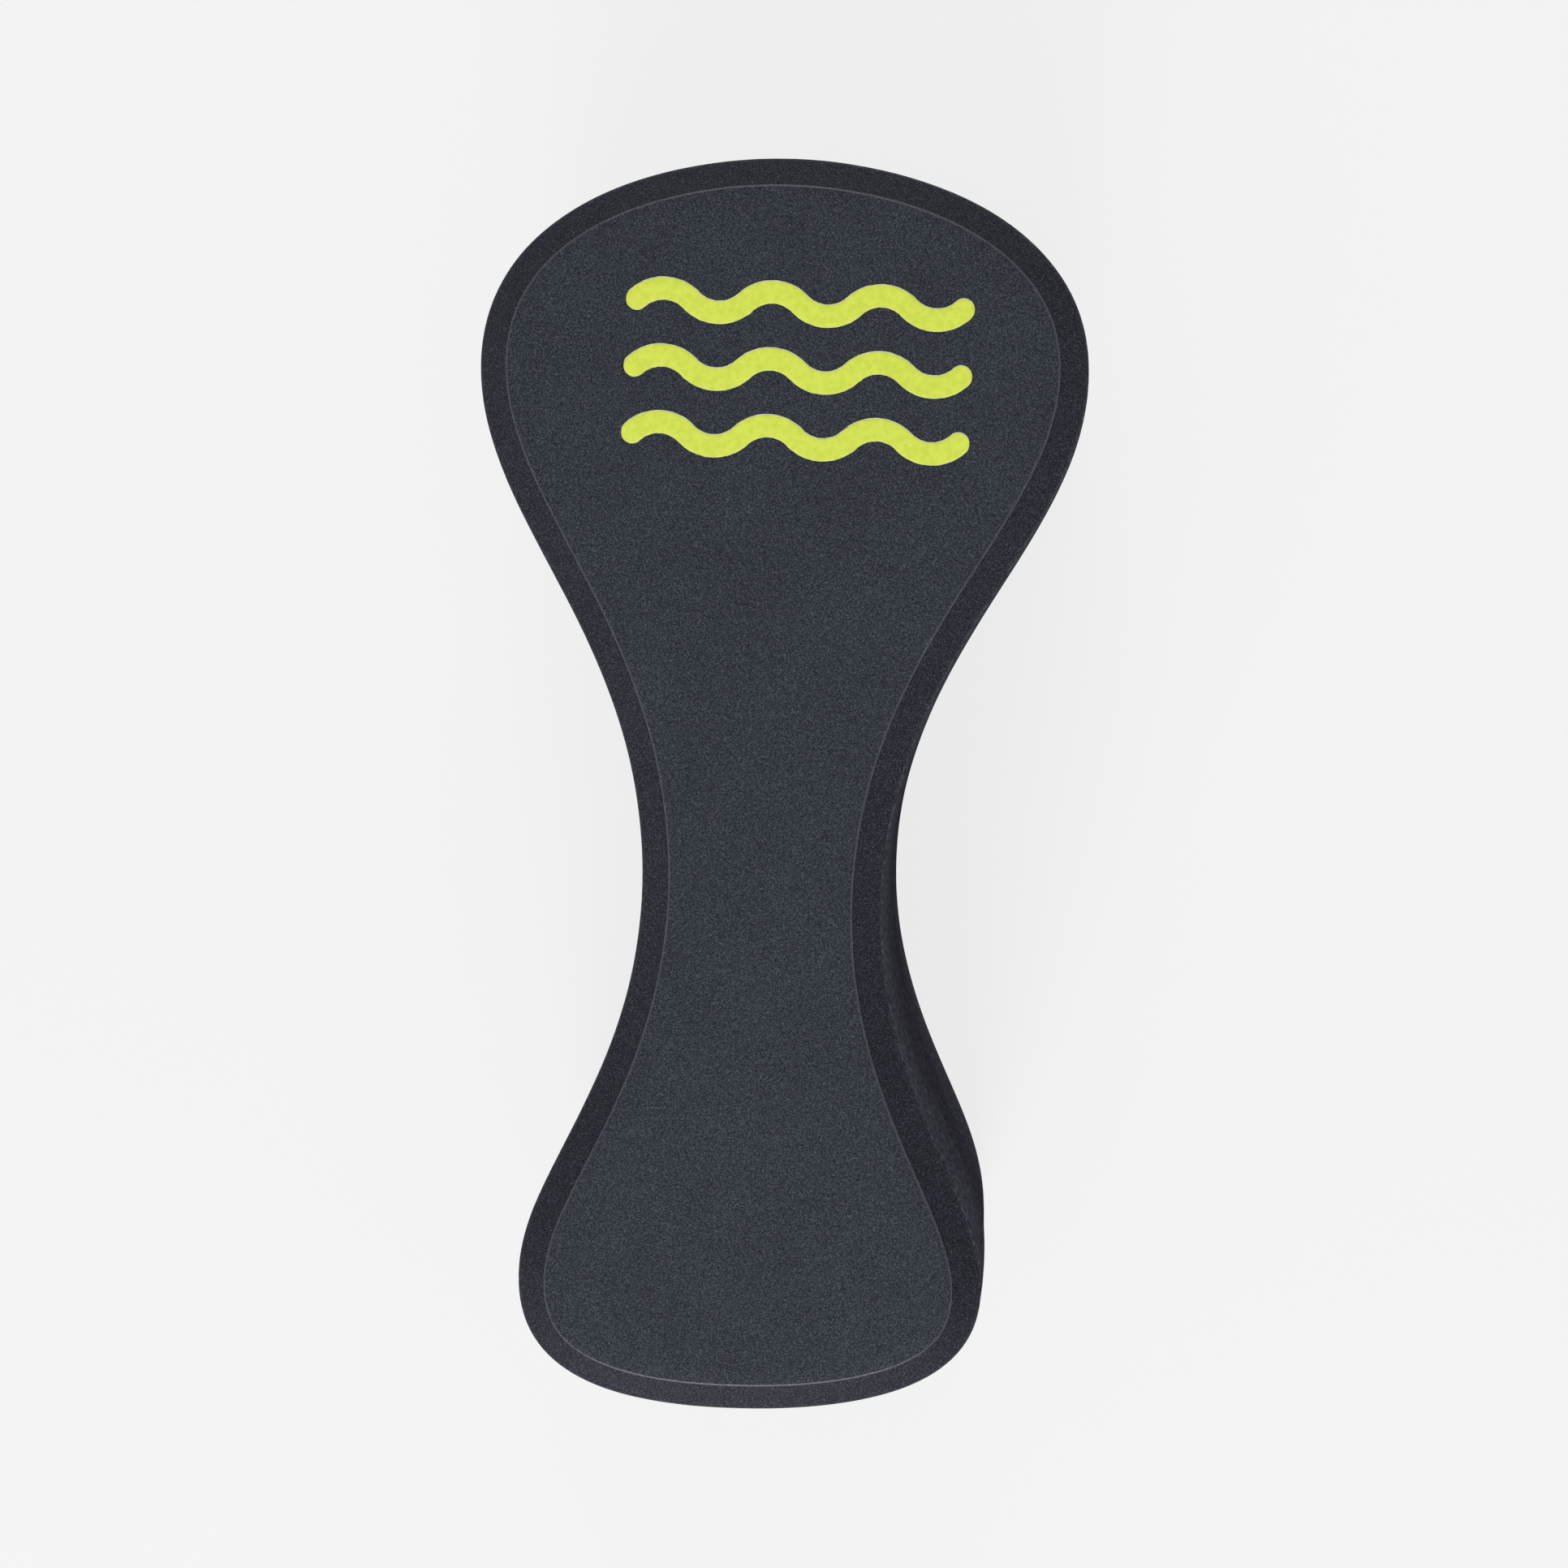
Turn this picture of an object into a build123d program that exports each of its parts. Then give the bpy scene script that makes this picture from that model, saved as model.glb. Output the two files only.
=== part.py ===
from build123d import *
import os

# Pull buoy: a figure-of-eight block glued up from four EVA foam sheets, with a printed wave mark.
# It lies on its rear face. The origin is the middle of that face's bounding rectangle, +Y runs up
# the long axis to the larger lobe, +X across the lobes, and +Z out of the printed front face.
# All sizes are in millimetres.

# outline of every sheet, seen from the front: a chain of tangent arcs
overall_height = 240.0  # end to end, along Y
upper_lobe_width = 115.8  # the large lobe, held between the thighs
lower_lobe_width = 89.2  # the small lobe, held between the ankles
waist_width = 46.4
crown_drop = 38.0  # from the top end down to the large lobe's widest line
heel_rise = 23.8  # from the bottom end up to the small lobe's widest line
waist_rise = 98.8  # from the bottom end up to the waist
crown_radius = 31.0  # the large lobe's shoulders
heel_radius = 18.0  # the small lobe's shoulders
upper_flank_turn = 0.62  # how far from the waist to the lobe a flank stops hollowing
lower_flank_turn = 0.69

# lamination, along Z
face_sheet_depth = 37.2  # each of the two moulded outer sheets
core_sheet_depth = 37.2  # each of the two plain sheets between them
bond_depth = 0.2  # each layer of contact adhesive
bond_setback = 0.8  # the adhesive stops short of the side wall
seam_radius = 0.25  # softened edge of every sheet at a glue line

# moulded rim round each outer face
rim_width = 5.5  # from the side wall in to the raised face
rim_drop = 6.3  # from the raised face down to the side wall
face_step = 0.9  # height of the raised face's upright edge
face_edge_radius = 0.4
rim_edge_radius = 2.2

# printed mark on the front face: wave stripes, each a white undercoat and a colour coat
stripe_count = 3
stripe_pitch = 12.6  # from stripe to stripe, along Y
stripe_band = 4.2  # width of a stripe
waves_per_stripe = 3
wave_length = 20.6
wave_swing = 4.2  # crest to trough, along the middle of a stripe
print_shift = 3.3  # of the mark's middle, towards +X
print_drop = 2.4  # of the mark's middle, below the large lobe's widest line
undercoat_depth = 0.1
colour_depth = 0.1
colour_slip = 0.22  # the colour is printed this much low, and bares the undercoat's upper edge

# levels and lines that the pieces share
top_end = overall_height / 2
bottom_end = -overall_height / 2
crown_line = top_end - crown_drop
heel_line = bottom_end + heel_rise
waist_line = bottom_end + waist_rise
sheet_pitch = core_sheet_depth + bond_depth
rear_core_level = face_sheet_depth + bond_depth
front_core_level = rear_core_level + sheet_pitch
front_face_level = front_core_level + sheet_pitch
overall_depth = front_face_level + face_sheet_depth
rim_level = overall_depth - rim_drop
ledge_level = overall_depth - face_step


def shoulder_end(half_width, widest_line, end_line, shoulder_radius):
    """Where a lobe's shoulder arc runs into the flatter arc across its end."""
    rise = abs(end_line - widest_line)
    reach = half_width - shoulder_radius
    end_radius = (reach**2 + rise**2 - shoulder_radius**2) / (2 * (rise - shoulder_radius))
    inward = (widest_line - end_line) / rise
    end_centre = Vector(0, end_line + inward * end_radius)
    outward = Vector(reach, widest_line) - end_centre
    return end_centre + outward.normalized() * end_radius


def buoy_outline(inset=0):
    """The figure of eight as a flat face, drawn in by inset all round."""
    heel = Vector(lower_lobe_width / 2, heel_line)
    waist = Vector(waist_width / 2, waist_line)
    crown = Vector(upper_lobe_width / 2, crown_line)
    right_side = [
        Vector(0, bottom_end),
        shoulder_end(heel.X, heel_line, bottom_end, heel_radius),
        heel,
        waist + (heel - waist) * lower_flank_turn,
        waist,
        waist + (crown - waist) * upper_flank_turn,
        crown,
        shoulder_end(crown.X, crown_line, top_end, crown_radius),
        Vector(0, top_end),
    ]
    with BuildSketch() as outline:
        with BuildLine() as edge:
            direction = Vector(1, 0)
            for start, finish in zip(right_side, right_side[1:]):
                arc = TangentArc(start, finish, tangent=direction)
                direction = arc % 1
            mirror(edge.line, about=Plane.YZ)
        make_face()
        if inset:
            offset(amount=-inset, mode=Mode.REPLACE)
    return outline.sketch


def wave_stripe(centre_line):
    """One round-ended stripe, as a flat face, that swings about centre_line in equal arcs."""
    half_wave = wave_length / 2
    left_end = print_shift - waves_per_stripe * half_wave
    with BuildSketch() as stripe:
        with BuildLine() as wave:
            for arc in range(2 * waves_per_stripe):
                start = left_end + arc * half_wave
                swing = wave_swing / 2 * (-1) ** arc
                ThreePointArc(
                    (start, centre_line),
                    (start + half_wave / 2, centre_line + swing),
                    (start + half_wave, centre_line),
                )
            offset(amount=stripe_band / 2, mode=Mode.REPLACE)
        make_face()
    return stripe.sketch


os.makedirs("parts", exist_ok=True)

# the front sheet: a plain slab, bevelled all round, then topped with its raised face
with BuildPart() as front_face_sheet:
    with BuildSketch(Plane.XY.offset(front_face_level)):
        add(buoy_outline())
    extrude(amount=face_sheet_depth - face_step)
    slab_top = front_face_sheet.faces().sort_by(Axis.Z)[-1]
    bevel_height = ledge_level - rim_level
    chamfer(slab_top.edges(), length=rim_width, length2=bevel_height, reference=slab_top)
    rim_edges = front_face_sheet.edges().filter_by_position(Axis.Z, rim_level, rim_level)
    fillet(rim_edges, radius=rim_edge_radius)
    with BuildSketch(Plane.XY.offset(ledge_level)):
        add(buoy_outline(inset=rim_width))
    extrude(amount=face_step)
    fillet(front_face_sheet.faces().sort_by(Axis.Z)[-1].edges(), radius=face_edge_radius)
    fillet(front_face_sheet.faces().sort_by(Axis.Z)[0].edges(), radius=seam_radius)

front_face_sheet.part.label = "front_face_sheet"
export_step(front_face_sheet.part, "parts/front_face_sheet.step")

# the rear sheet comes out of the same mould, turned to face the other way
with BuildPart() as rear_face_sheet:
    mirror(front_face_sheet.part, about=Plane.XY.offset(overall_depth / 2))

rear_face_sheet.part.label = "rear_face_sheet"
export_step(rear_face_sheet.part, "parts/rear_face_sheet.step")

# the two plain sheets between them
core_levels = {"rear_core_sheet": rear_core_level, "front_core_sheet": front_core_level}
for name, level in core_levels.items():
    with BuildPart() as core_sheet:
        with BuildSketch(Plane.XY.offset(level)):
            add(buoy_outline())
        extrude(amount=core_sheet_depth)
        flat_faces = core_sheet.faces().filter_by(Axis.Z)
        fillet(flat_faces.edges(), radius=seam_radius)

    core_sheet.part.label = name
    export_step(core_sheet.part, f"parts/{name}.step")

# the adhesive in each of the three joints
bond_tops = {
    "rear_bond": rear_core_level,
    "middle_bond": front_core_level,
    "front_bond": front_face_level,
}
for name, bond_top in bond_tops.items():
    with BuildPart() as bond:
        with BuildSketch(Plane.XY.offset(bond_top - bond_depth)):
            add(buoy_outline(inset=bond_setback))
        extrude(amount=bond_depth)

    bond.part.label = name
    export_step(bond.part, f"parts/{name}.step")

# the printed stripes, numbered from the top
for number in range(stripe_count):
    steps_up = (stripe_count - 1) / 2 - number
    stripe_line = crown_line - print_drop + steps_up * stripe_pitch

    with BuildPart() as undercoat:
        with BuildSketch(Plane.XY.offset(overall_depth)):
            add(wave_stripe(stripe_line))
        extrude(amount=undercoat_depth)

    undercoat.part.label = f"stripe_undercoat_{number + 1}"
    export_step(undercoat.part, f"parts/{undercoat.part.label}.step")

    with BuildPart() as colour:
        with BuildSketch(Plane.XY.offset(overall_depth + undercoat_depth)):
            add(wave_stripe(stripe_line - colour_slip))
        extrude(amount=colour_depth)

    colour.part.label = f"stripe_colour_{number + 1}"
    export_step(colour.part, f"parts/{colour.part.label}.step")
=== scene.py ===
import bpy
import math
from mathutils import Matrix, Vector, geometry, noise


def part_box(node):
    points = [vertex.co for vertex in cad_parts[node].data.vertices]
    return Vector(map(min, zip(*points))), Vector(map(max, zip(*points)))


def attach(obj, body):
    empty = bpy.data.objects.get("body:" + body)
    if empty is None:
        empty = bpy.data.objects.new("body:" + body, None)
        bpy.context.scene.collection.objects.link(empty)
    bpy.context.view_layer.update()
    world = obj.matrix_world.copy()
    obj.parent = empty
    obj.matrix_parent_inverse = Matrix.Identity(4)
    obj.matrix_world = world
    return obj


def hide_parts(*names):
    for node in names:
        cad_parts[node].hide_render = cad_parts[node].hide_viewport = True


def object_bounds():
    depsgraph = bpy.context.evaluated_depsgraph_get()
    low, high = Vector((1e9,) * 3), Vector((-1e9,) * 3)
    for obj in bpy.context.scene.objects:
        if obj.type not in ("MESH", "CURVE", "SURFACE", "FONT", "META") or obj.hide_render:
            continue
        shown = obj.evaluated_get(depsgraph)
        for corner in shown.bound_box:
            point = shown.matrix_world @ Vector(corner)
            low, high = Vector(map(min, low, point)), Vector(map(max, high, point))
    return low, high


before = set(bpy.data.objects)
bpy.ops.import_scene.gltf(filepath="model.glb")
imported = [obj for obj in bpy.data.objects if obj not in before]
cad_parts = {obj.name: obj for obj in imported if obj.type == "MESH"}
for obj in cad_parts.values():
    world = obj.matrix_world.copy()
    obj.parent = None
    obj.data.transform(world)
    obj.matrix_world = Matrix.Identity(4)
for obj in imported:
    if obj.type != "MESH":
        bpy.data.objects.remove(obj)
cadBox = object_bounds()
cadLow, cadHigh = cadBox
mm = 0.001
print("frame loaded")


# right half of the figure of eight: five points, with a handle each way at its widths
buoyShape = {
    "upperWidth": 116.2 * mm,
    "lowerWidth": 89.4 * mm,
    "waistWidth": 46.2 * mm,
    "upperLine": 80.1 * mm,  # heights above the middle
    "waistLine": -20.2 * mm,
    "lowerLine": -95.1 * mm,
    "heelHandles": (40.6 * mm, 10.0 * mm),  # at the bottom end, at the small lobe's side
    "lowerFlankHandles": (18.3 * mm, 37.2 * mm),  # small lobe, waist
    "upperFlankHandles": (47.8 * mm, 30.8 * mm),  # waist, large lobe
    "crownHandles": (28.6 * mm, 25.6 * mm),  # large lobe, top end
    "bow": 0.8 * mm,  # how far the ends lean to the right of the middle
    "heelSlant": 0.032,  # the bottom end runs up to the right, by this much of the way across
    "heelReach": 35.0 * mm,  # how far up from the bottom end the slant is felt
    "pointGap": 1.5 * mm,  # between the mesh's points along the outline
}


def bezierStretch(start, startPull, endPull, end, steps=400):
    points = geometry.interpolate_bezier(start, start + startPull, end + endPull, end, steps)
    return [Vector((p[0], p[1])) for p in points]


def rightOutline():
    shape = buoyShape
    bottom = Vector((0, cadLow.y, 0))
    heel = Vector((shape["lowerWidth"] / 2, shape["lowerLine"], 0))
    waist = Vector((shape["waistWidth"] / 2, shape["waistLine"], 0))
    crown = Vector((shape["upperWidth"] / 2, shape["upperLine"], 0))
    top = Vector((0, cadHigh.y, 0))
    across, along = Vector((1, 0, 0)), Vector((0, 1, 0))
    stretches = [
        (bottom, across * shape["heelHandles"][0], -along * shape["heelHandles"][1], heel),
        (heel, along * shape["lowerFlankHandles"][0], -along * shape["lowerFlankHandles"][1], waist),
        (waist, along * shape["upperFlankHandles"][0], -along * shape["upperFlankHandles"][1], crown),
        (crown, along * shape["crownHandles"][0], across * shape["crownHandles"][1], top),
    ]
    points = []
    for stretch in stretches:
        points += bezierStretch(*stretch)[:-1]
    points.append(Vector((0, cadHigh.y)))
    return points


def evenlySpaced(points, count):
    # count points, the same distance apart along the line
    lengths = [0]
    for a, b in zip(points, points[1:]):
        lengths.append(lengths[-1] + (b - a).length)
    spaced, at = [], 0
    for i in range(count):
        wanted = lengths[-1] * i / (count - 1)
        while at < len(points) - 2 and lengths[at + 1] < wanted:
            at += 1
        share = (wanted - lengths[at]) / (lengths[at + 1] - lengths[at])
        spaced.append(points[at].lerp(points[at + 1], share))
    return spaced


def asMoulded(point):
    # foam comes out of its mould a little bowed, and not quite square at the end
    shape = buoyShape
    height = point.y / cadHigh.y
    felt = max(0, 1 - (point.y - cadLow.y) / shape["heelReach"])
    x = point.x + shape["bow"] * height * height
    y = point.y + shape["heelSlant"] * point.x * felt
    return Vector((x, y))


def fullOutline():
    # anticlockwise from the bottom end: up the right side, down the left
    right = rightOutline()
    length = sum((b - a).length for a, b in zip(right, right[1:]))
    right = evenlySpaced(right, round(length / buoyShape["pointGap"]) + 1)
    left = [Vector((-p.x, p.y)) for p in reversed(right[1:-1])]
    return [asMoulded(point) for point in right + left]


def outwardNormals(loop):
    normals = []
    for i, point in enumerate(loop):
        along = loop[(i + 1) % len(loop)] - loop[i - 1]
        normals.append(Vector((along.y, -along.x)).normalized())
    return normals


outline = fullOutline()
outlineNormals = outwardNormals(outline)
print("outline drawn,", len(outline), "points")


def roundCorner(corner, before, after, radius, steps=5):
    # (inset, height) points of a fillet of that radius between two straight lines
    inward, outward = (before - corner).normalized(), (after - corner).normalized()
    halfAngle = inward.angle(outward) / 2
    reach = radius / math.tan(halfAngle)
    centre = corner + (inward + outward).normalized() * (radius / math.sin(halfAngle))
    start, end = corner + inward * reach - centre, corner + outward * reach - centre
    turn = start.angle_signed(end)
    points = []
    for i in range(steps + 1):
        angle = -turn * i / steps
        cos, sin = math.cos(angle), math.sin(angle)
        points.append(centre + Vector((start.x * cos - start.y * sin, start.x * sin + start.y * cos)))
    return points


def smoothPiece(name, verts, faces):
    mesh = bpy.data.meshes.new(name)
    mesh.from_pydata(verts, [], faces)
    mesh.validate()
    mesh.update()
    for polygon in mesh.polygons:
        polygon.use_smooth = True
    piece = bpy.data.objects.new(name, mesh)
    bpy.context.scene.collection.objects.link(piece)
    return piece


def ringFaces(rings, size):
    # quads from each ring of points to the next, all the way round
    faces = []
    for ring in range(rings - 1):
        a, b = ring * size, (ring + 1) * size
        for i in range(size):
            j = (i + 1) % size
            faces.append((a + i, a + j, b + j, b + i))
    return faces


def sheetMesh(name, profile, unevenness):
    # profile: (inset, height) from the edge of one flat face, round the side, to the other's edge
    verts = []
    size = len(outline)
    for inset, height in profile:
        for point, normal in zip(outline, outlineNormals):
            spot = point - normal * inset
            place = Vector((spot.x, spot.y, height))
            place += Vector((normal.x, normal.y, 0)) * (unevenness(place) + barrel(height))
            verts.append(place)
    faces = ringFaces(len(profile), size)
    faces += flatCap(verts, 0, size, turned=True)
    faces += flatCap(verts, (len(profile) - 1) * size, size, turned=False)
    return smoothPiece(name, verts, faces)


def markRings(piece, name, profile, share):
    # a value for each point of the rings, which the foam's material reads by this name
    mark = piece.data.attributes.new(name, "FLOAT", "POINT")
    size = len(outline)
    for number, ring in enumerate(profile):
        value = share(ring)
        for i in range(size):
            mark.data[number * size + i].value = value


def flatCap(verts, first, size, turned, columns=24):
    # rungs between the right and left sides close a flat face, with a fan at the bottom and the top
    half = size // 2
    rungs = []
    for i in range(1, half):
        right, left = first + i, first + size - i
        rung = [right]
        for column in range(1, columns):
            verts.append(verts[right].lerp(verts[left], column / columns))
            rung.append(len(verts) - 1)
        rungs.append(rung + [left])
    bottom, top = first, first + half
    faces = [(bottom, rungs[0][c], rungs[0][c + 1]) for c in range(columns)]
    for lower, upper in zip(rungs, rungs[1:]):
        faces += [(lower[c], upper[c], upper[c + 1], lower[c + 1]) for c in range(columns)]
    faces += [(rungs[-1][c], top, rungs[-1][c + 1]) for c in range(columns)]
    if turned:
        faces = [tuple(reversed(face)) for face in faces]
    return faces


block = {
    "bulge": 0.7 * mm,  # how far the walls stand out half way from face to face
    "bulgeShape": 3,  # higher makes the wall flatter in the middle and rounder towards the rims
    "rimLevel": 6.3 * mm,  # from a face to where its wall starts
    "sway": (0.16 * mm, 45 * mm),  # of the walls, and the distance from one swell to the next
    "ripple": (0.04 * mm, 12 * mm),
}


def barrel(height):
    low, high = cadLow.z + block["rimLevel"], cadHigh.z - block["rimLevel"]
    fromMiddle = min(1, abs(2 * (height - low) / (high - low) - 1))
    return block["bulge"] * (1 - fromMiddle ** block["bulgeShape"])


def wallUnevenness(place):
    # the side walls wander a little, as foam does when it is trimmed
    (sway, swayLength), (ripple, rippleLength) = block["sway"], block["ripple"]
    return sway * noise.noise(place / swayLength) + ripple * noise.noise(place / rippleLength)


def newMaterial(name):
    material = bpy.data.materials.new(name)
    material.use_nodes = True
    nodes = material.node_tree.nodes
    nodes.clear()
    output = nodes.new("ShaderNodeOutputMaterial")
    shader = nodes.new("ShaderNodeBsdfPrincipled")
    material.node_tree.links.new(shader.outputs["BSDF"], output.inputs["Surface"])
    return material, nodes, material.node_tree.links, shader


def noiseTexture(nodes, links, place, size, detail=2.0, roughness=0.5):
    # size is the distance from one blotch to the next, in metres
    texture = nodes.new("ShaderNodeTexNoise")
    texture.inputs["Scale"].default_value = 1 / size
    texture.inputs["Detail"].default_value = detail
    texture.inputs["Roughness"].default_value = roughness
    links.new(place, texture.inputs["Vector"])
    return texture.outputs["Fac"]


def colourRamp(nodes, links, value, stops):
    ramp = nodes.new("ShaderNodeValToRGB")
    links.new(value, ramp.inputs["Fac"])
    elements = ramp.color_ramp.elements
    while len(elements) < len(stops):
        elements.new(0.5)
    for element, (position, colour) in zip(elements, stops):
        element.position = position
        element.color = (*colour, 1)
    return ramp.outputs["Color"]


def mixColours(nodes, links, share, first, second, blend="MIX"):
    mix = nodes.new("ShaderNodeMix")
    mix.data_type = "RGBA"
    mix.blend_type = blend
    for socket, value in ((mix.inputs[0], share), (mix.inputs[6], first), (mix.inputs[7], second)):
        if isinstance(value, bpy.types.NodeSocket):
            links.new(value, socket)
        else:
            socket.default_value = value
    return mix.outputs[2]


usualNoise = (0.25, 0.75)  # nearly all of a noise texture's values lie between these


def rangeOf(nodes, links, value, low, high):
    remap = nodes.new("ShaderNodeMapRange")
    remap.inputs["From Min"].default_value = usualNoise[0]
    remap.inputs["From Max"].default_value = usualNoise[1]
    remap.inputs["To Min"].default_value = low
    remap.inputs["To Max"].default_value = high
    links.new(value, remap.inputs["Value"])
    return remap.outputs["Result"]


def bumpLayer(nodes, links, height, depth, normal=None):
    bump = nodes.new("ShaderNodeBump")
    bump.inputs["Strength"].default_value = 1.0
    bump.inputs["Distance"].default_value = depth
    links.new(height, bump.inputs["Height"])
    if normal is not None:
        links.new(normal, bump.inputs["Normal"])
    return bump.outputs["Normal"]


# the moulded skin of a face; its rim and edge differ in these, the rim's darker colours being painted
# shade and the edge's lighter colours a painted highlight
skinFinish = {
    "colours": ((0.003, 0.004, 0.010), (0.030, 0.035, 0.047), (0.108, 0.117, 0.142)),
    "speckSize": 0.29 * mm,
    "mottleSize": 14.0 * mm,
    "mottle": (0.92, 1.07),
    "brownTint": (0.038, 0.033, 0.035),
    "greenTint": (0.026, 0.039, 0.046),
    "tintSize": 0.8 * mm,
    "tintShare": 0.24,
    "roughness": (0.50, 0.66),
    "specular": 0.14,
    "grainDepth": 0.07 * mm,
    "poreSize": 0.7 * mm,
    "poreDepth": 0.05 * mm,
}
rimPaintedShadeFinish = {
    **skinFinish,
    # painted shade: the rim's colours are darker than the face's skin
    "colours": ((0.001, 0.001, 0.003), (0.017, 0.0185, 0.028), (0.095, 0.100, 0.130)),
    "brownTint": (0.020, 0.017, 0.021),
    "greenTint": (0.012, 0.018, 0.025),
    "specular": 0.10,
    "grainDepth": 0.12 * mm,
}
edgePaintedHighlightFinish = {
    **skinFinish,
    # painted highlight: the edge's colours are lighter than the face's skin; its lower roughness and
    # stronger specular are its own gloss
    "colours": ((0.018, 0.022, 0.031), (0.044, 0.051, 0.066), (0.110, 0.120, 0.142)),
    "roughness": (0.26, 0.40),
    "specular": 0.48,
}
# the side walls: lighter by the rims, which is painted light, and darker between them, which is
# painted shade
wallPaintedLightAndShadeFinish = {
    "colours": ((0.014, 0.014, 0.019), (0.055, 0.058, 0.073), (0.140, 0.148, 0.180)),
    "paintedShadeColours": ((0.008, 0.008, 0.012), (0.028, 0.028, 0.037), (0.068, 0.068, 0.086)),
    "speckSize": 1.0 * mm,
    "mottleSize": 20.0 * mm,
    "mottle": (0.88, 1.12),
    "brownTint": (0.036, 0.030, 0.033),
    "greenTint": (0.022, 0.030, 0.038),
    "tintSize": 2.5 * mm,
    "tintShare": 0.2,
    "roughness": (0.80, 0.92),
    "specular": 0.0,
    "grainDepth": 0.16 * mm,
    "poreSize": 1.4 * mm,
    "poreDepth": 0.10 * mm,
}


speckLevels = (0.30, 0.50, 0.70)  # of the noise: where the dark, middle and light colours stand
grainTurn = (0.61, 0.43, 0.92)


def specks(nodes, links, speck, colours):
    return colourRamp(nodes, links, speck, list(zip(speckLevels, colours)))


def paintedShadeMark(nodes):
    mark = nodes.new("ShaderNodeAttribute")
    # the share of painted shade at each point of a wall
    mark.attribute_name = "deep"
    return mark.outputs["Fac"]


def skewedPlace(nodes, links):
    # turned askew, so that the noise's own grid doesn't line up with the flat faces
    turn = nodes.new("ShaderNodeMapping")
    turn.inputs["Rotation"].default_value = grainTurn
    links.new(nodes.new("ShaderNodeTexCoord").outputs["Object"], turn.inputs["Vector"])
    return turn.outputs["Vector"]


def foamMaterial(name, finish):
    material, nodes, links, shader = newMaterial(name)
    place = skewedPlace(nodes, links)
    speck = noiseTexture(nodes, links, place, finish["speckSize"], detail=3.0, roughness=0.6)
    colour = specks(nodes, links, speck, finish["colours"])
    # painted shade: the wall's darker colours, mixed in by how far down the wall a point lies
    if "paintedShadeColours" in finish:
        paintedShadeWallColour = specks(nodes, links, speck, finish["paintedShadeColours"])
        colour = mixColours(nodes, links, paintedShadeMark(nodes), colour, paintedShadeWallColour)
    tint = noiseTexture(nodes, links, place, finish["tintSize"], detail=3.0)
    brownShare = rangeOf(nodes, links, tint, -finish["tintShare"], finish["tintShare"])
    colour = mixColours(nodes, links, brownShare, colour, (*finish["brownTint"], 1))
    greenShare = rangeOf(nodes, links, tint, finish["tintShare"], -finish["tintShare"])
    colour = mixColours(nodes, links, greenShare, colour, (*finish["greenTint"], 1))
    mottle = noiseTexture(nodes, links, place, finish["mottleSize"], detail=4.0)
    lightness = rangeOf(nodes, links, mottle, *finish["mottle"])
    colour = mixColours(nodes, links, 1.0, colour, lightness, blend="MULTIPLY")
    links.new(colour, shader.inputs["Base Color"])
    links.new(rangeOf(nodes, links, speck, *finish["roughness"]), shader.inputs["Roughness"])
    pores = nodes.new("ShaderNodeTexVoronoi")
    pores.feature = "SMOOTH_F1"
    pores.inputs["Scale"].default_value = 1 / finish["poreSize"]
    links.new(place, pores.inputs["Vector"])
    normal = bumpLayer(nodes, links, pores.outputs["Distance"], finish["poreDepth"])
    normal = bumpLayer(nodes, links, speck, finish["grainDepth"], normal)
    links.new(normal, shader.inputs["Normal"])
    shader.inputs["Specular IOR Level"].default_value = finish["specular"]
    return material


inkFinish = {
    "limeDeep": (0.70, 0.83, 0.075),
    "lime": (0.80, 0.91, 0.105),
    "white": (0.88, 0.89, 0.84),
    "whiteDeep": (0.78, 0.79, 0.74),
    "blotchSize": 1.2 * mm,
    "blotchLevels": (0.35, 0.62),
    "grainSize": 0.6 * mm,
    "grainDepth": 0.03 * mm,
    "roughness": (0.42, 0.55),
    "specular": 0.3,
}


def inkMaterial(name, deep, pale):
    material, nodes, links, shader = newMaterial(name)
    place = nodes.new("ShaderNodeTexCoord").outputs["Object"]
    blotch = noiseTexture(nodes, links, place, inkFinish["blotchSize"], detail=3.0)
    colour = colourRamp(nodes, links, blotch, list(zip(inkFinish["blotchLevels"], (deep, pale))))
    links.new(colour, shader.inputs["Base Color"])
    links.new(rangeOf(nodes, links, blotch, *inkFinish["roughness"]), shader.inputs["Roughness"])
    grain = noiseTexture(nodes, links, place, inkFinish["grainSize"], detail=2.0)
    links.new(bumpLayer(nodes, links, grain, inkFinish["grainDepth"]), shader.inputs["Normal"])
    shader.inputs["Specular IOR Level"].default_value = inkFinish["specular"]
    return material


glueFinish = {
    "colours": ((0.013, 0.013, 0.016), (0.026, 0.026, 0.031)),
    "blotchSize": 1.6 * mm,
    "blotchLevels": (0.3, 0.7),
    "depth": 0.05 * mm,
    "roughness": (0.5, 0.65),
    "specular": 0.25,
}


def glueMaterial():
    material, nodes, links, shader = newMaterial("dryGlue")
    place = nodes.new("ShaderNodeTexCoord").outputs["Object"]
    blotch = noiseTexture(nodes, links, place, glueFinish["blotchSize"], detail=3.0)
    stops = list(zip(glueFinish["blotchLevels"], glueFinish["colours"]))
    colour = colourRamp(nodes, links, blotch, stops)
    links.new(colour, shader.inputs["Base Color"])
    links.new(rangeOf(nodes, links, blotch, *glueFinish["roughness"]), shader.inputs["Roughness"])
    links.new(bumpLayer(nodes, links, blotch, glueFinish["depth"]), shader.inputs["Normal"])
    shader.inputs["Specular IOR Level"].default_value = glueFinish["specular"]
    return material


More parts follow.
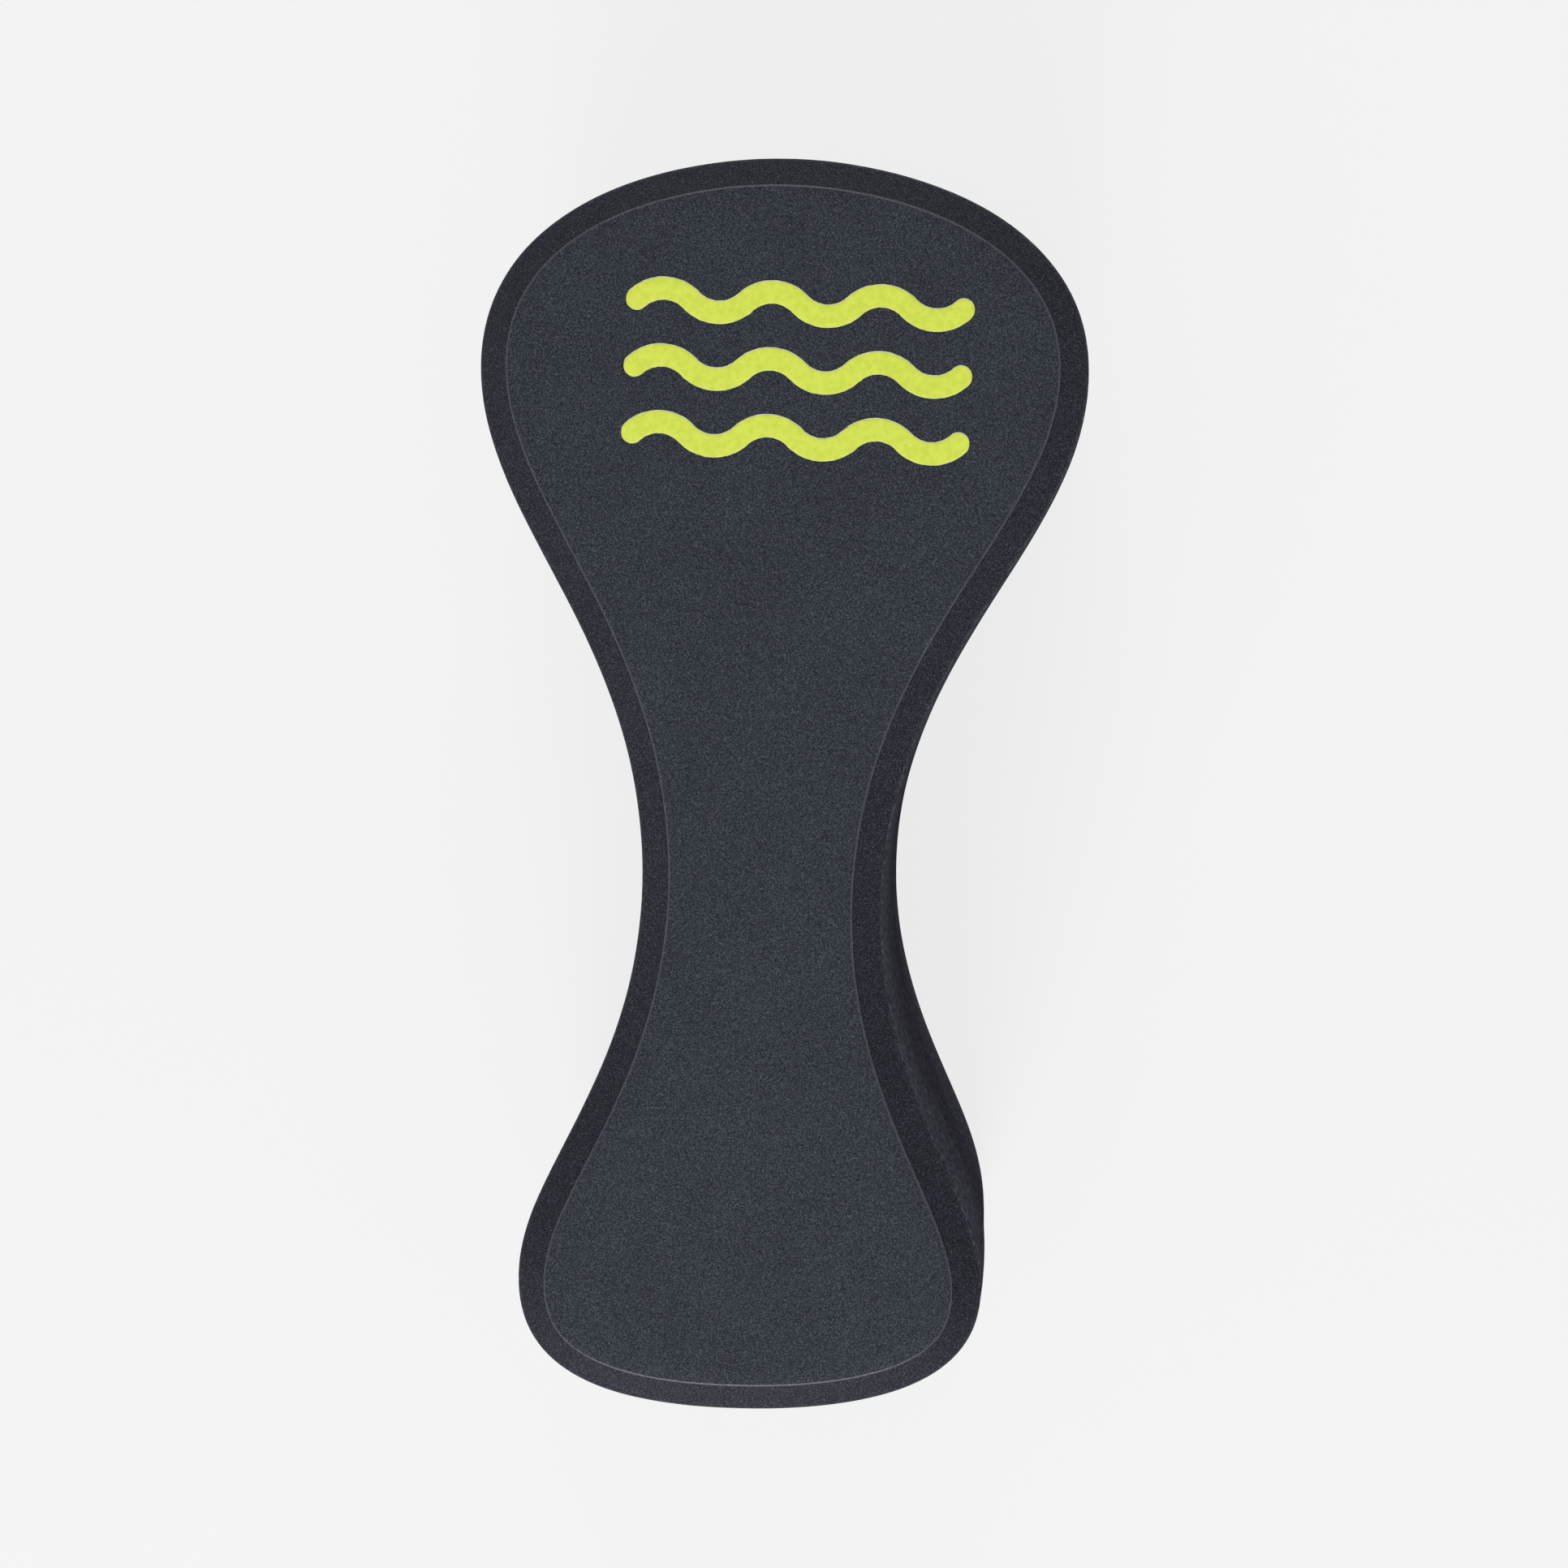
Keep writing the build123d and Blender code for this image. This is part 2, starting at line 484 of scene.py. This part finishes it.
skinFoam = foamMaterial("skinFoam", skinFinish)
rimPaintedShadeFoam = foamMaterial("rimPaintedShadeFoam", rimPaintedShadeFinish)
edgePaintedHighlightFoam = foamMaterial("edgePaintedHighlightFoam", edgePaintedHighlightFinish)
wallFoamPaintedLightAndShade = foamMaterial("wallFoamPaintedLightAndShade", wallPaintedLightAndShadeFinish)
limeInk = inkMaterial("limeInk", inkFinish["limeDeep"], inkFinish["lime"])
whiteInk = inkMaterial("whiteInk", inkFinish["whiteDeep"], inkFinish["white"])
dryGlue = glueMaterial()
print("materials mixed")


moulding = {
    "rimWidth": 5.5 * mm,
    "rimDrop": 6.3 * mm,
    "faceStep": 0.9 * mm,
    "faceEdge": 0.4 * mm,
    "faceRoll": (4.0 * mm, 0.25 * mm),  # the face dips to its edge over this width, by this much
    "rollRings": (0.25, 0.4, 0.55, 0.7, 0.85, 1.0),  # shares of that width
    "bevelRings": (0.05, 0.5, 0.95),  # shares of the way up the bevel
    "stepFoot": 0.25 * mm,
    "rimEdge": 2.2 * mm,
    "seamEdge": 0.06 * mm,
    "wallGap": 3.0 * mm,  # between rings up the side wall
    "skinStart": 0.25 * mm,  # how far in from the wall the skin begins
    "edgeStart": 0.02 * mm,  # how far outside the raised face its edge, with the painted highlight, begins
    "paintedShadeDepth": 60 * mm,  # how far down from its rim the wall goes on getting darker with painted shade
    "paintedShadeCurve": 0.7,  # under 1 puts the painted shade on soonest by the rim
}


def wallRings(low, high):
    count = max(2, round((high - low) / moulding["wallGap"]))
    return [Vector((0, low + (high - low) * i / count)) for i in range(1, count)]


def seamCorner(height, towardsWall):
    corner = Vector((0, height))
    onFlat, onWall = corner + Vector((1, 0)), corner + Vector((0, towardsWall))
    return roundCorner(corner, onFlat, onWall, moulding["seamEdge"], 3)


def faceProfile(low, high):
    # from the glued rim, up the wall, over the bevel and step, to the raised face
    mould = moulding
    rollWidth, rollDrop = mould["faceRoll"]
    rimCorner = Vector((0, high - mould["rimDrop"]))
    stepFoot = Vector((mould["rimWidth"], high - mould["faceStep"]))
    faceCorner = Vector((mould["rimWidth"], high - rollDrop))
    seam = seamCorner(low, 1)
    rim = roundCorner(rimCorner, Vector((0, low)), stepFoot, mould["rimEdge"], 7)
    foot = roundCorner(stepFoot, rimCorner, faceCorner, mould["stepFoot"], 3)
    rollEnd = faceCorner + Vector((rollWidth, rollDrop))
    edge = roundCorner(faceCorner, stepFoot, rollEnd, mould["faceEdge"], 6)
    bevel = [rim[-1].lerp(foot[0], share) for share in mould["bevelRings"]]
    roll = [Vector((mould["rimWidth"] + rollWidth * share, high - rollDrop * (1 - share) ** 2))
            for share in mould["rollRings"]]
    return seam + wallRings(seam[-1].y, rim[0].y) + rim + bevel + foot + edge + roll


def coreProfile(low, high):
    bottom, top = seamCorner(low, 1), list(reversed(seamCorner(high, -1)))
    return bottom + wallRings(bottom[-1].y, top[0].y) + top


def makeFoamSheet(name, node, profile, moulded):
    low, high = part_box(node)
    rings = profile(low.z, high.z)
    piece = sheetMesh(name, rings, wallUnevenness)
    # the attribute deep sets how much painted shade each ring of the wall gets
    markRings(piece, "deep", rings, deep)
    piece.data.materials.append(wallFoamPaintedLightAndShade)
    if moulded:
        coverInSkin(piece, rings)
    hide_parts(node)
    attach(piece, "root")


def deep(ring):
    # how far down the wall a ring lies: 0 by a rim, 1 in the middle of the wall, where the painted
    # shade is darkest
    fromFace = min(ring.y - cadLow.z, cadHigh.z - ring.y) - block["rimLevel"]
    return min(1, max(0, fromFace / moulding["paintedShadeDepth"])) ** moulding["paintedShadeCurve"]


def coverInSkin(piece, rings):
    # after the wall come the rim, darkened with painted shade, the raised face's edge, lightened with
    # a painted highlight, and the face
    mould = moulding
    for material in (rimPaintedShadeFoam, edgePaintedHighlightFoam, skinFoam):
        piece.data.materials.append(material)
    faceStart = mould["rimWidth"]
    starts = (mould["skinStart"], faceStart - mould["edgeStart"], faceStart + mould["faceEdge"])
    size = len(outline)
    for polygon in piece.data.polygons:
        ring = polygon.index // size
        if ring < len(rings) - 1:
            inset = (rings[ring].x + rings[ring + 1].x) / 2
            polygon.material_index = sum(inset > start for start in starts)
        else:
            polygon.material_index = len(starts)


def turnedFaceProfile(low, high):
    # the rear sheet lies on its raised face: the same profile, upside down
    rings = [Vector((ring.x, low + high - ring.y)) for ring in faceProfile(low, high)]
    return list(reversed(rings))


makeFoamSheet("frontFace", "front_face_sheet", faceProfile, moulded=True)
makeFoamSheet("frontCore", "front_core_sheet", coreProfile, moulded=False)
makeFoamSheet("rearCore", "rear_core_sheet", coreProfile, moulded=False)
makeFoamSheet("rearFace", "rear_face_sheet", turnedFaceProfile, moulded=True)
print("foam sheets made")


glueLine = {
    "setback": 0.06 * mm,
    "bead": 0.03 * mm,
    "beadSize": 6.0 * mm,
    "edge": (0.1 * mm, 0.05 * mm),  # the bevel along its top and bottom: inwards, and in height
}


def glueSwell(place):
    return wallUnevenness(place) + glueLine["bead"] * noise.noise(place / glueLine["beadSize"])


def makeGlue(name, node):
    low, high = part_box(node)
    back = glueLine["setback"]
    inwards, inHeight = glueLine["edge"]
    rings = [Vector((back + inwards, low.z)), Vector((back, low.z + inHeight)),
             Vector((back, high.z - inHeight)), Vector((back + inwards, high.z))]
    piece = sheetMesh(name, rings, glueSwell)
    piece.data.materials.append(dryGlue)
    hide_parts(node)
    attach(piece, "root")


for layer in ("front", "middle", "rear"):
    makeGlue(layer + "Glue", layer + "_bond")
print("glue lines made")


wavePrint = {
    "count": 3,
    "waves": 3,
    "band": 4.2 * mm,
    "rib": 0.3 * mm,  # distance between ribs along a stripe
    "endRibs": 14,  # round each end
    "endTip": 0.02,  # share of the width left at the tip, which keeps its faces whole
    "edgeWander": 0.07 * mm,  # the ink's edge follows the foam's grain
    "wanderSize": 0.8 * mm,
    "wanderFade": 3,  # higher keeps the wander up nearer to a stripe's tips
    "edgesApart": 5,  # keeps the two edges' wander from matching
    "sink": 0.05 * mm,
    # across a rib: (share of the half width, share of the thickness), from the left edge to the middle
    "edgeProfile": ((-1, 0.4), (-0.975, 0.85), (-0.93, 1), (-0.5, 1), (0, 1)),
}


def wavePath(start, end, swing):
    # points and normals along a chain of equal arcs
    halves = 2 * wavePrint["waves"]
    chord = (end - start) / halves
    rise = swing / 2
    radius = (chord * chord / 4 + rise * rise) / (2 * rise)
    halfTurn = math.asin(chord / 2 / radius)
    steps = round(2 * halfTurn * radius / wavePrint["rib"])
    path = []
    for half in range(halves):
        side = 1 if half % 2 == 0 else -1
        centre = Vector((start + (half + 0.5) * chord, -side * (radius - rise)))
        for i in range(steps + (half == halves - 1)):
            angle = -halfTurn + 2 * halfTurn * i / steps
            normal = Vector((math.sin(angle), side * math.cos(angle)))
            path.append((centre + normal * radius, normal * side))
    return path


def addRoundEnds(path):
    # (point, normal, share of the full width) for each rib, with the round ends put on
    reach = wavePrint["band"] / 2
    first, last = path[0], path[-1]
    head, tail = [], []
    for i in range(1, wavePrint["endRibs"] + 1):
        angle = math.pi / 2 * i / wavePrint["endRibs"]
        out, width = reach * math.sin(angle), max(math.cos(angle), wavePrint["endTip"])
        back = Vector((-first[1].y, first[1].x))
        on = Vector((last[1].y, -last[1].x))
        head.insert(0, (first[0] + back * out, first[1], width))
        tail.append((last[0] + on * out, last[1], width))
    return head + [(point, normal, 1.0) for point, normal in path] + tail


def ribSection(thick):
    # (share of the half width, height) from the left foot, over the top, to the right foot
    left = [(-1, -wavePrint["sink"])]
    left += [(share, thick * up) for share, up in wavePrint["edgeProfile"]]
    return left + [(-share, height) for share, height in reversed(left[:-1])]


def makeStripe(name, node, material, seed):
    low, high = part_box(node)
    band = wavePrint["band"]
    middle = (low.y + high.y) / 2
    path = addRoundEnds(wavePath(low.x + band / 2, high.x - band / 2, high.y - low.y - band))
    section = ribSection(high.z - low.z)
    verts = []
    for point, normal, width in path:
        spot = Vector((point.x, point.y, seed)) / wavePrint["wanderSize"]
        for share, height in section:
            side = 1 if share > 0 else -1
            apart = Vector((0, 0, side * wavePrint["edgesApart"]))
            wander = noise.noise(spot + apart) * wavePrint["edgeWander"]
            reach = share * (band / 2 * width + wander * min(width * wavePrint["wanderFade"], 1))
            verts.append(Vector((point.x + normal.x * reach,
                                 middle + point.y + normal.y * reach, low.z + height)))
    size = len(section)
    faces = ringFaces(len(path), size)
    faces.append(tuple(range(size)))
    faces.append(tuple(reversed(range((len(path) - 1) * size, len(path) * size))))
    piece = smoothPiece(name, verts, faces)
    piece.data.materials.append(material)
    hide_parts(node)
    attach(piece, "root")


for number in range(1, wavePrint["count"] + 1):
    makeStripe(f"waveUndercoat{number}", f"stripe_undercoat_{number}", whiteInk, number)
    makeStripe(f"waveColour{number}", f"stripe_colour_{number}", limeInk, number + 10)
print("waves printed")


studio = {
    "floorSize": 12,  # metres
    "floorGlow": 0.80,  # the floor is a light table, which is why its shadows are faint
    "floorColour": (0.12, 0.12, 0.12),
    "floorBlotch": (0.4, 0.98),  # distance between blotches, and how dark they are
    "floorRoughness": 0.9,
    # (height, brightness): level with the floor, part of the way up, overhead
    "surroundings": ((0.50, 0.80), (0.66, 0.34), (0.90, 0.16)),
    # (direction from the buoy, distance in metres, size in metres, power in watts)
    "lowLight": ((-0.06, -0.82, 0.54), 1.3, 0.7, 12.0),
    "highLight": ((-0.02, 0.80, 0.58), 1.4, 0.8, 5.2),
    "frontLight": ((-0.05, 0.0, 1.0), 1.6, 0.9, 3.5),
}


def makeFloor():
    bpy.ops.mesh.primitive_plane_add(size=studio["floorSize"], location=(0, 0, cadLow.z))
    floor = bpy.context.object
    floor.name = "studioFloor"
    material, nodes, links, shader = newMaterial("paleFloor")
    place = nodes.new("ShaderNodeTexCoord").outputs["Object"]
    blotchSize, darker = studio["floorBlotch"]
    blotch = noiseTexture(nodes, links, place, blotchSize)
    grey = studio["floorColour"]
    blotchGrey = tuple(part * darker for part in grey)
    colour = colourRamp(nodes, links, blotch, [(0.0, blotchGrey), (1.0, grey)])
    links.new(colour, shader.inputs["Base Color"])
    shader.inputs["Roughness"].default_value = studio["floorRoughness"]
    shader.inputs["Specular IOR Level"].default_value = 0.0
    shader.inputs["Emission Color"].default_value = (1, 1, 1, 1)
    shader.inputs["Emission Strength"].default_value = studio["floorGlow"]
    floor.data.materials.append(material)


def makeLight(name):
    direction, distance, size, power = studio[name]
    light = bpy.data.lights.new(name, "AREA")
    light.shape = "DISK"
    light.size = size
    light.energy = power
    lamp = bpy.data.objects.new(name, light)
    aim = Vector((0, 0, cadHigh.z))
    lamp.location = aim + Vector(direction).normalized() * distance
    lamp.rotation_euler = (lamp.location - aim).to_track_quat("Z", "Y").to_euler()
    bpy.context.scene.collection.objects.link(lamp)


shot = {
    "across": 39.4 * mm,
    "along": 38.8 * mm,
    "aboveFace": 769.2 * mm,
    "turn": (-2.684, 2.757, 2.240),  # degrees
    "lens": 93.17,
    "sensor": 36,
    "nearest": 10 * mm,
}


def makeCamera():
    camera = bpy.data.cameras.new("studioCamera")
    camera.lens = shot["lens"]
    camera.sensor_width = shot["sensor"]
    camera.clip_start = shot["nearest"]
    camera.dof.use_dof = False
    stand = bpy.data.objects.new("studioCamera", camera)
    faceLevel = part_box("front_face_sheet")[1].z
    stand.location = (shot["across"], shot["along"], faceLevel + shot["aboveFace"])
    stand.rotation_euler = [math.radians(angle) for angle in shot["turn"]]
    bpy.context.scene.collection.objects.link(stand)
    bpy.context.scene.camera = stand


def makeWorld():
    world = bpy.data.worlds.new("studioWorld")
    world.use_nodes = True
    nodes, links = world.node_tree.nodes, world.node_tree.links
    heights = nodes.new("ShaderNodeSeparateXYZ")
    links.new(nodes.new("ShaderNodeTexCoord").outputs["Generated"], heights.inputs["Vector"])
    share = nodes.new("ShaderNodeMapRange")
    share.inputs["From Min"].default_value = -1.0  # straight down
    links.new(heights.outputs["Z"], share.inputs["Value"])
    stops = [(height, (glow, glow, glow)) for height, glow in studio["surroundings"]]
    glow = colourRamp(nodes, links, share.outputs["Result"], stops)
    links.new(glow, nodes["Background"].inputs["Color"])
    bpy.context.scene.world = world


makeFloor()
for lightName in ("lowLight", "highLight", "frontLight"):
    makeLight(lightName)
makeCamera()
makeWorld()
bpy.context.scene.view_settings.view_transform = "Standard"
print("studio set")
